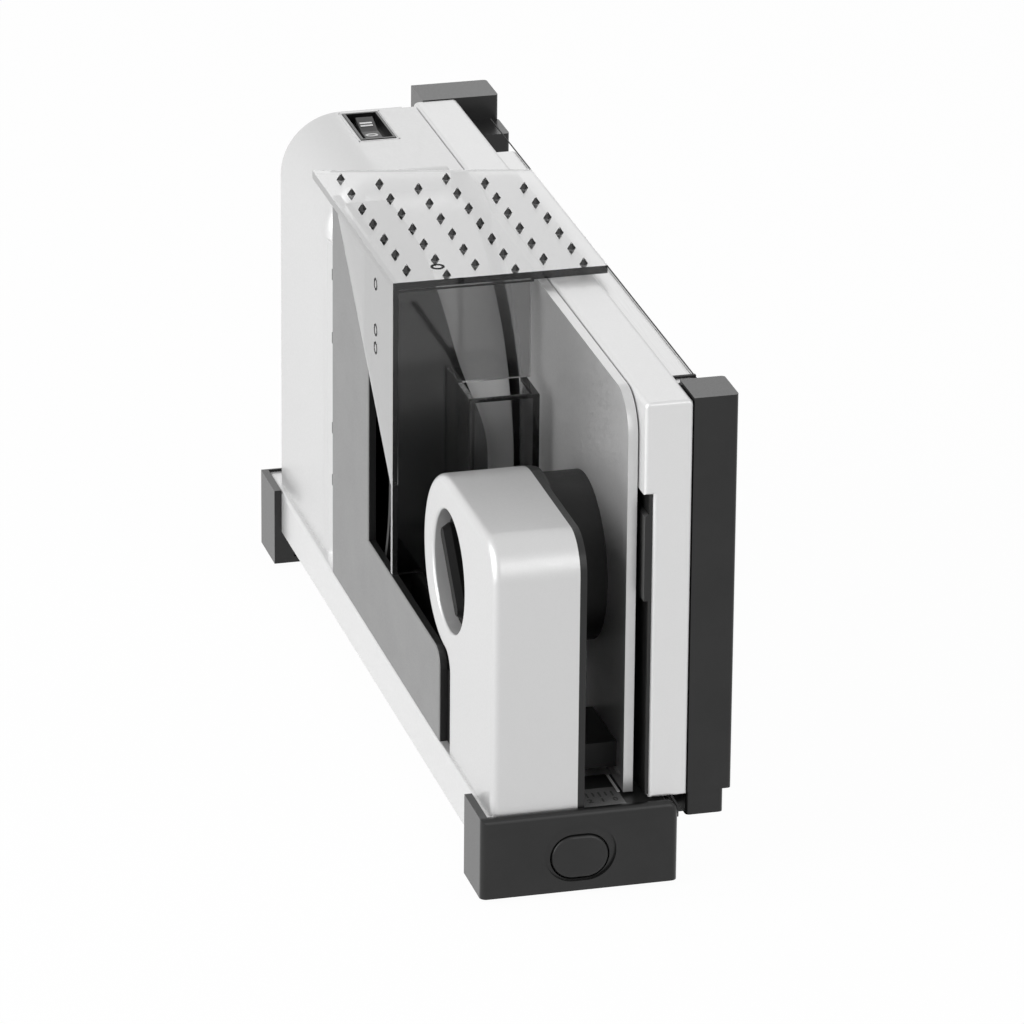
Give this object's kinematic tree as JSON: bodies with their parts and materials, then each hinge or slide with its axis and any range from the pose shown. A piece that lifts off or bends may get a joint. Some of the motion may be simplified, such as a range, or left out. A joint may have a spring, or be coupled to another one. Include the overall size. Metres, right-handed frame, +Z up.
{
  "type": "folding food slicer",
  "caption": "Folding electric food slicer, folded upright: round blade, sliding carriage on a hinged table, stop plate set by a knob, motor housing with rocker switch, toothed food holder",
  "frame": {"origin": "on the ground under the middle of the folded slicer, midway across its width and length", "axes": "+X from the motor side to the table side, +Y along the base from the knob end to the rear, +Z up"},
  "size_m": [0.0934, 0.3522, 0.1902],
  "materials": {
    "aluminium": "anodised",
    "black_plastic": "fine grain",
    "bronze": "sintered",
    "grey_panel": "fine grain",
    "rubber": "matt",
    "silver_lacquer": "satin metallic",
    "silver_plastic": "satin metallic lacquer",
    "smoke_plastic": "clear gloss, smoke tint",
    "steel": "ground",
    "white_plastic": "plain"
  },
  "bodies": {
    "chassis": {"base_profile": "aluminium", "front_base_cap": "black_plastic", "rear_base_cap": "black_plastic", "rubber_feet": "rubber", "motor_can": "steel", "axle_bushes": "bronze", "motor_housing": "silver_plastic", "switch_body": "black_plastic", "cord_gland": "black_plastic", "side_panel": "grey_panel", "inner_frame": "black_plastic", "knob_housing": "silver_plastic", "knob_backplate": "black_plastic", "scale_plate": "black_plastic", "hinge_brackets": "steel", "hinge_pins": "steel", "housing_screws": "steel"},
    "table": {"table_front_cap": "black_plastic", "table_rear_cap": "black_plastic", "table_feet": "rubber", "table_rail": "aluminium", "hinge_arms": "black_plastic"},
    "carriage": {"carriage_plate": "silver_lacquer", "carriage_rails": "black_plastic", "carriage_stopper": "black_plastic"},
    "stop": {"stop_plate": "silver_lacquer", "stop_drum": "black_plastic", "stop_guide": "black_plastic"},
    "knob": {"knob": "black_plastic", "knob_spindle": "steel"},
    "blade": {"blade": "steel", "blade_flange": "white_plastic", "blade_axle": "steel", "worm_wheel": "white_plastic"},
    "blade_lock": {"blade_lock": "black_plastic"},
    "rotor": {"motor_shaft": "steel", "motor_armature": "steel"},
    "rocker": {"rocker": "black_plastic"},
    "release_button": {"release_button": "black_plastic"},
    "food_holder": {"food_holder": "smoke_plastic"}
  },
  "joints": [
    {"name": "table_fold", "type": "hinge", "parent": "chassis", "child": "table", "pos_m": [0.0275, 0, 0.0192], "axis": [0, 1, 0], "range_deg": [0, 90]},
    {"name": "carriage_slide", "type": "slide", "parent": "table", "child": "carriage", "axis": [0, -1, 0], "range_m": [0, 0.17]},
    {"name": "knob_turn", "type": "hinge", "parent": "chassis", "child": "knob", "pos_m": [-0.0422, -0.1101, 0.1012], "axis": [1, 0, 0], "range_deg": [0, 300]},
    {"name": "stop_slide", "type": "slide", "parent": "chassis", "child": "stop", "axis": [-1, 0, 0], "range_m": [0, 0.014]},
    {"name": "blade_spin", "type": "hinge", "parent": "chassis", "child": "blade", "pos_m": [0.0118, 0.0619, 0.0987], "axis": [1, 0, 0], "continuous": true},
    {"name": "rotor_spin", "type": "hinge", "parent": "chassis", "child": "rotor", "pos_m": [-0.0147, 0.0619, 0.1352], "axis": [0, 1, 0], "continuous": true},
    {"name": "blade_lock_turn", "type": "hinge", "parent": "blade", "child": "blade_lock", "pos_m": [0.0118, 0.0619, 0.0987], "axis": [1, 0, 0], "range_deg": [0, 90]},
    {"name": "switch_rock", "type": "hinge", "parent": "chassis", "child": "rocker", "pos_m": [-0.0108, 0.1353, 0.178], "axis": [-1, 0, 0], "range_deg": [0, 16]},
    {"name": "button_press", "type": "slide", "parent": "chassis", "child": "release_button", "axis": [0, 1, 0], "range_m": [0, 0.003], "stiffness_N_per_m": 500, "springref_m": -0.002},
    {"name": "holder_lift", "type": "slide", "parent": "stop", "child": "food_holder", "axis": [0, 0, 1], "range_m": [0, 0.16]}
  ],
  "couplings": [
    {"joint": "knob_turn", "follows": "stop_slide", "rad_per_m": 374},
    {"joint": "rotor_spin", "follows": "blade_spin", "ratio": 30}
  ]
}
